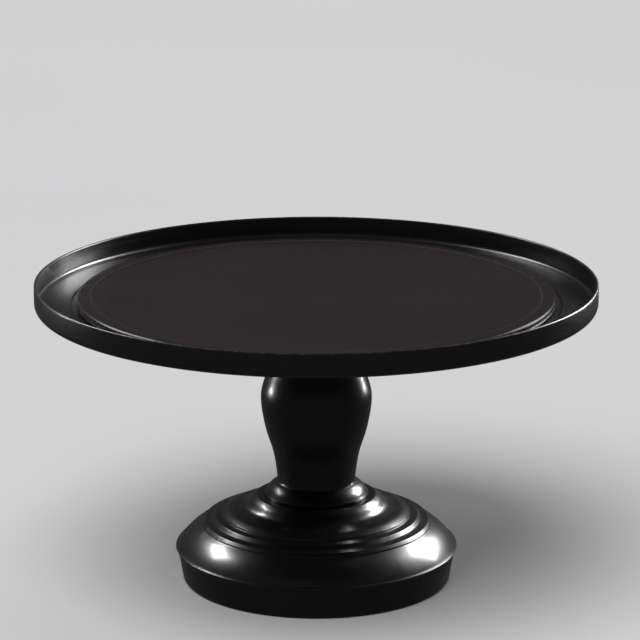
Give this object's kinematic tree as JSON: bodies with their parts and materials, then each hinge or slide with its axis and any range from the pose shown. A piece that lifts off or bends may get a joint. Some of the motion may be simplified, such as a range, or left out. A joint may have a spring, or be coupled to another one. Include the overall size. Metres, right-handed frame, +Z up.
{
  "type": "cake turntable",
  "caption": "Pedestal cake turntable: a rimmed round tray spins on a turned column and stepped base, with a lift-off centre platter.",
  "frame": {"origin": "centre of the base on the surface the stand rests on, under the axis of rotation", "axes": "+Z up along the axis of rotation; the whole stand is round about it, so +X and +Y are arbitrary"},
  "size_m": [0.305, 0.305, 0.1683],
  "materials": {
    "pedestal_lacquer": "gloss black lacquer",
    "tray_lacquer": "gloss black enamel",
    "platter_enamel": "gloss black enamel with a faint violet cast",
    "bottom_plate_paint": "matt black paint",
    "foot_rubber": "matt",
    "seal_rubber": "matt",
    "grip_silicone": "matt grey silicone",
    "cast_hub": "cast and turned",
    "bronze": "machined, oiled sintered bronze",
    "cage_bronze": "pressed",
    "machined_steel": "turned",
    "bearing_steel": "hardened and ground",
    "screw_steel": "zinc plated"
  },
  "bodies": {
    "pedestal": {"base_shell": "pedestal_lacquer", "column": "pedestal_lacquer", "bottom_plate": "bottom_plate_paint", "foot_ring": "foot_rubber", "lower_bush": "bronze", "upper_bush": "bronze", "lower_race": "bearing_steel", "dust_seal": "seal_rubber", "column_screw_1": "screw_steel", "column_screw_2": "screw_steel", "column_screw_3": "screw_steel", "column_washer_1": "screw_steel", "column_washer_2": "screw_steel", "column_washer_3": "screw_steel", "plate_screw_1": "screw_steel", "plate_screw_2": "screw_steel", "plate_screw_3": "screw_steel"},
    "bearing_cage": {"ball_1": "bearing_steel", "ball_2": "bearing_steel", "ball_3": "bearing_steel", "ball_4": "bearing_steel", "ball_5": "bearing_steel", "ball_6": "bearing_steel", "ball_7": "bearing_steel", "ball_8": "bearing_steel", "ball_cage": "cage_bronze"},
    "turntable": {"tray": "tray_lacquer", "hub_flange": "cast_hub", "spindle": "machined_steel", "upper_race": "bearing_steel", "thrust_shim": "machined_steel", "retaining_clip": "machined_steel", "hub_screw_1": "screw_steel", "hub_screw_2": "screw_steel", "hub_screw_3": "screw_steel", "hub_screw_4": "screw_steel"},
    "platter": {"platter": "platter_enamel", "grip_ring": "grip_silicone"}
  },
  "joints": [
    {"name": "tray_spin", "type": "hinge", "parent": "pedestal", "child": "turntable", "pos_m": [0, 0, 0.1356], "axis": [0, 0, 1], "continuous": true},
    {"name": "cage_spin", "type": "hinge", "parent": "pedestal", "child": "bearing_cage", "pos_m": [0, 0, 0.1356], "axis": [0, 0, 1], "continuous": true},
    {"name": "platter_lift", "type": "slide", "parent": "turntable", "child": "platter", "axis": [0, 0, 1], "range_m": [0, 0.06]}
  ],
  "couplings": [
    {"joint": "cage_spin", "follows": "tray_spin", "ratio": 0.5}
  ]
}
